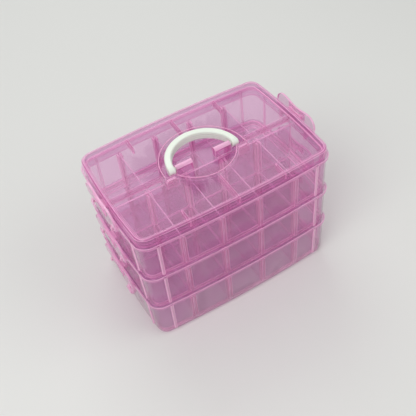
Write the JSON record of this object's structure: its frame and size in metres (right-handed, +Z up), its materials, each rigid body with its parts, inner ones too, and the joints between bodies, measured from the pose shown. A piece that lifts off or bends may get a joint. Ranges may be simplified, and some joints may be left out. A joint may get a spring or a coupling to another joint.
{
  "type": "craft organizer box",
  "caption": "Translucent stacking craft organizer box with nesting divided trays, loose dividers, end latches and a lid with a fold-down carrying handle.",
  "frame": {"origin": "centre of the underside of the bottom tray", "axes": "+X along the long side towards the right-hand latches, +Y towards the back, where the handle folds to, +Z up"},
  "size_m": [0.2488, 0.162, 0.1768],
  "materials": {
    "tray_plastic": "gloss",
    "lid_plastic": "gloss",
    "latch_plastic": "gloss",
    "divider_plastic": "gloss",
    "handle_plastic": "satin"
  },
  "bodies": {
    "base": {"tray_bottom": "tray_plastic", "divider_bottom_front_1": "divider_plastic", "divider_bottom_front_2": "divider_plastic", "divider_bottom_front_3": "divider_plastic", "divider_bottom_front_4": "divider_plastic", "divider_bottom_back_1": "divider_plastic", "divider_bottom_back_2": "divider_plastic", "divider_bottom_back_3": "divider_plastic", "divider_bottom_back_4": "divider_plastic"},
    "middle_tray": {"tray_middle": "tray_plastic", "divider_middle_front_1": "divider_plastic", "divider_middle_front_2": "divider_plastic", "divider_middle_front_3": "divider_plastic", "divider_middle_front_4": "divider_plastic", "divider_middle_back_1": "divider_plastic", "divider_middle_back_2": "divider_plastic", "divider_middle_back_3": "divider_plastic", "divider_middle_back_4": "divider_plastic"},
    "top_tray": {"tray_top": "tray_plastic", "divider_top_front_1": "divider_plastic", "divider_top_front_2": "divider_plastic", "divider_top_front_3": "divider_plastic", "divider_top_front_4": "divider_plastic", "divider_top_back_1": "divider_plastic", "divider_top_back_2": "divider_plastic", "divider_top_back_3": "divider_plastic", "divider_top_back_4": "divider_plastic"},
    "lid": {"lid": "lid_plastic"},
    "handle": {"handle": "handle_plastic"},
    "latch_bottom_left": {"latch_bottom_left": "latch_plastic"},
    "latch_bottom_right": {"latch_bottom_right": "latch_plastic"},
    "latch_middle_left": {"latch_middle_left": "latch_plastic"},
    "latch_middle_right": {"latch_middle_right": "latch_plastic"},
    "latch_top_left": {"latch_top_left": "latch_plastic"},
    "latch_top_right": {"latch_top_right": "latch_plastic"}
  },
  "joints": [
    {"name": "middle_tray_lift", "type": "slide", "parent": "base", "child": "middle_tray", "axis": [0, 0, 1], "range_m": [0, 0.07]},
    {"name": "top_tray_lift", "type": "slide", "parent": "middle_tray", "child": "top_tray", "axis": [0, 0, 1], "range_m": [0, 0.07]},
    {"name": "lid_lift", "type": "slide", "parent": "top_tray", "child": "lid", "axis": [0, 0, 1], "range_m": [0, 0.06]},
    {"name": "handle_hinge", "type": "hinge", "parent": "lid", "child": "handle", "pos_m": [0, 0, 0.16655], "axis": [1, 0, 0], "range_deg": [0, 95]},
    {"name": "latch_bottom_left_hinge", "type": "hinge", "parent": "base", "child": "latch_bottom_left", "pos_m": [-0.1216, 0, 0.0498], "axis": [0, -1, 0], "range_deg": [0, 150]},
    {"name": "latch_bottom_right_hinge", "type": "hinge", "parent": "base", "child": "latch_bottom_right", "pos_m": [0.1216, 0, 0.0498], "axis": [0, 1, 0], "range_deg": [0, 150]},
    {"name": "latch_middle_left_hinge", "type": "hinge", "parent": "middle_tray", "child": "latch_middle_left", "pos_m": [-0.1216, 0, 0.1008], "axis": [0, -1, 0], "range_deg": [0, 150]},
    {"name": "latch_middle_right_hinge", "type": "hinge", "parent": "middle_tray", "child": "latch_middle_right", "pos_m": [0.1216, 0, 0.1008], "axis": [0, 1, 0], "range_deg": [0, 150]},
    {"name": "latch_top_left_hinge", "type": "hinge", "parent": "top_tray", "child": "latch_top_left", "pos_m": [-0.1216, 0, 0.1518], "axis": [0, -1, 0], "range_deg": [0, 150]},
    {"name": "latch_top_right_hinge", "type": "hinge", "parent": "top_tray", "child": "latch_top_right", "pos_m": [0.1216, 0, 0.1518], "axis": [0, 1, 0], "range_deg": [0, 150]}
  ]
}
